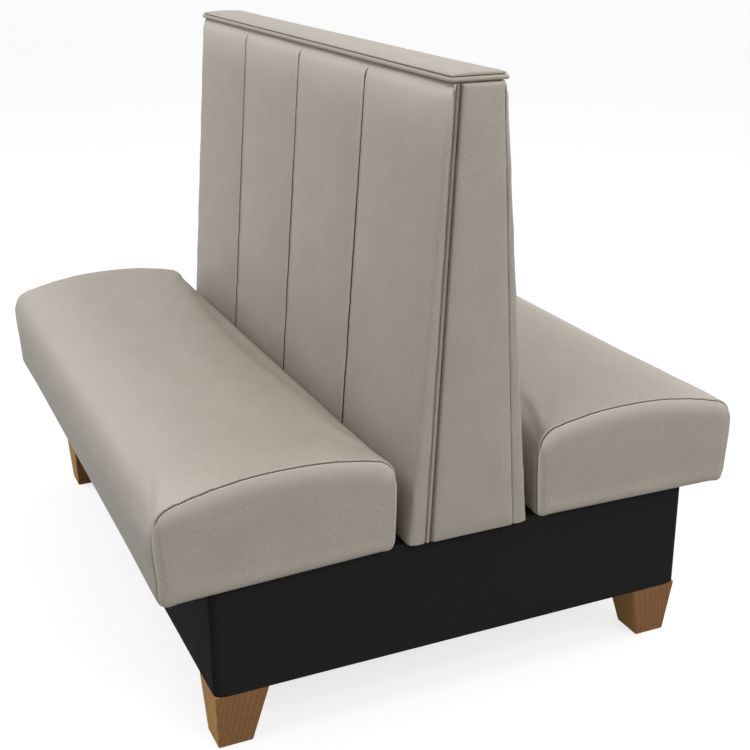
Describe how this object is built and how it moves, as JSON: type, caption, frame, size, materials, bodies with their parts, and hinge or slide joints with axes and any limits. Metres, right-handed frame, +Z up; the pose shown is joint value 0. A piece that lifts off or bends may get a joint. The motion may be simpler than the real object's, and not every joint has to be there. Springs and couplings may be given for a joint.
{
  "type": "restaurant booth seating",
  "caption": "Double-sided restaurant booth: two padded benches back to back on a shared tapered channelled back, black box base and tapered wooden legs.",
  "frame": {"origin": "on the floor, under the middle of the booth", "axes": "+X along the benches, +Y from the front bench to the rear bench, +Z up"},
  "size_m": [1.2196, 1.067, 1.0668],
  "materials": {
    "taupe_vinyl": "satin",
    "seat_foam": "matte",
    "black_cambric": "matte",
    "black_laminated_plywood": "matte",
    "birch_plywood": "matte",
    "softwood": "matte",
    "oiled_oak": "satin",
    "zinc_plated_steel": "satin"
  },
  "bodies": {
    "root": {"back_bottom_rail": "softwood", "back_edge_welts": "taupe_vinyl", "back_end_board_left": "birch_plywood", "back_end_board_right": "birch_plywood", "back_end_cover_left": "taupe_vinyl", "back_end_cover_right": "taupe_vinyl", "back_front_channel_1": "taupe_vinyl", "back_front_channel_2": "taupe_vinyl", "back_front_channel_3": "taupe_vinyl", "back_front_channel_4": "taupe_vinyl", "back_front_facing": "birch_plywood", "back_rear_channel_1": "taupe_vinyl", "back_rear_channel_2": "taupe_vinyl", "back_rear_channel_3": "taupe_vinyl", "back_rear_channel_4": "taupe_vinyl", "back_rear_facing": "birch_plywood", "back_rib_left": "birch_plywood", "back_rib_right": "birch_plywood", "back_top_rail": "birch_plywood", "base_corner_blocks": "softwood", "base_cross_rail_left": "softwood", "base_cross_rail_right": "softwood", "base_deck": "black_laminated_plywood", "base_front_board": "black_laminated_plywood", "base_left_board": "black_laminated_plywood", "base_rear_board": "black_laminated_plywood", "base_right_board": "black_laminated_plywood", "cap_board": "birch_plywood", "cap_pad": "taupe_vinyl", "cap_screws": "zinc_plated_steel", "cap_welt": "taupe_vinyl", "front_seat_cover": "taupe_vinyl", "front_seat_cross_rails": "softwood", "front_seat_deck": "birch_plywood", "front_seat_dust_cover": "black_cambric", "front_seat_edge_foam": "seat_foam", "front_seat_end_panel_left": "taupe_vinyl", "front_seat_end_panel_right": "taupe_vinyl", "front_seat_foam": "seat_foam", "front_seat_nose_rail": "softwood", "front_seat_tail_rail": "softwood", "lag_screws": "zinc_plated_steel", "leg_front_left": "oiled_oak", "leg_front_right": "oiled_oak", "leg_hanger_bolts": "zinc_plated_steel", "leg_plate_screws": "zinc_plated_steel", "leg_plates": "zinc_plated_steel", "leg_rear_left": "oiled_oak", "leg_rear_right": "oiled_oak", "rear_seat_cover": "taupe_vinyl", "rear_seat_cross_rails": "softwood", "rear_seat_deck": "birch_plywood", "rear_seat_dust_cover": "black_cambric", "rear_seat_edge_foam": "seat_foam", "rear_seat_end_panel_left": "taupe_vinyl", "rear_seat_end_panel_right": "taupe_vinyl", "rear_seat_foam": "seat_foam", "rear_seat_nose_rail": "softwood", "rear_seat_tail_rail": "softwood"}
  },
  "joints": []
}
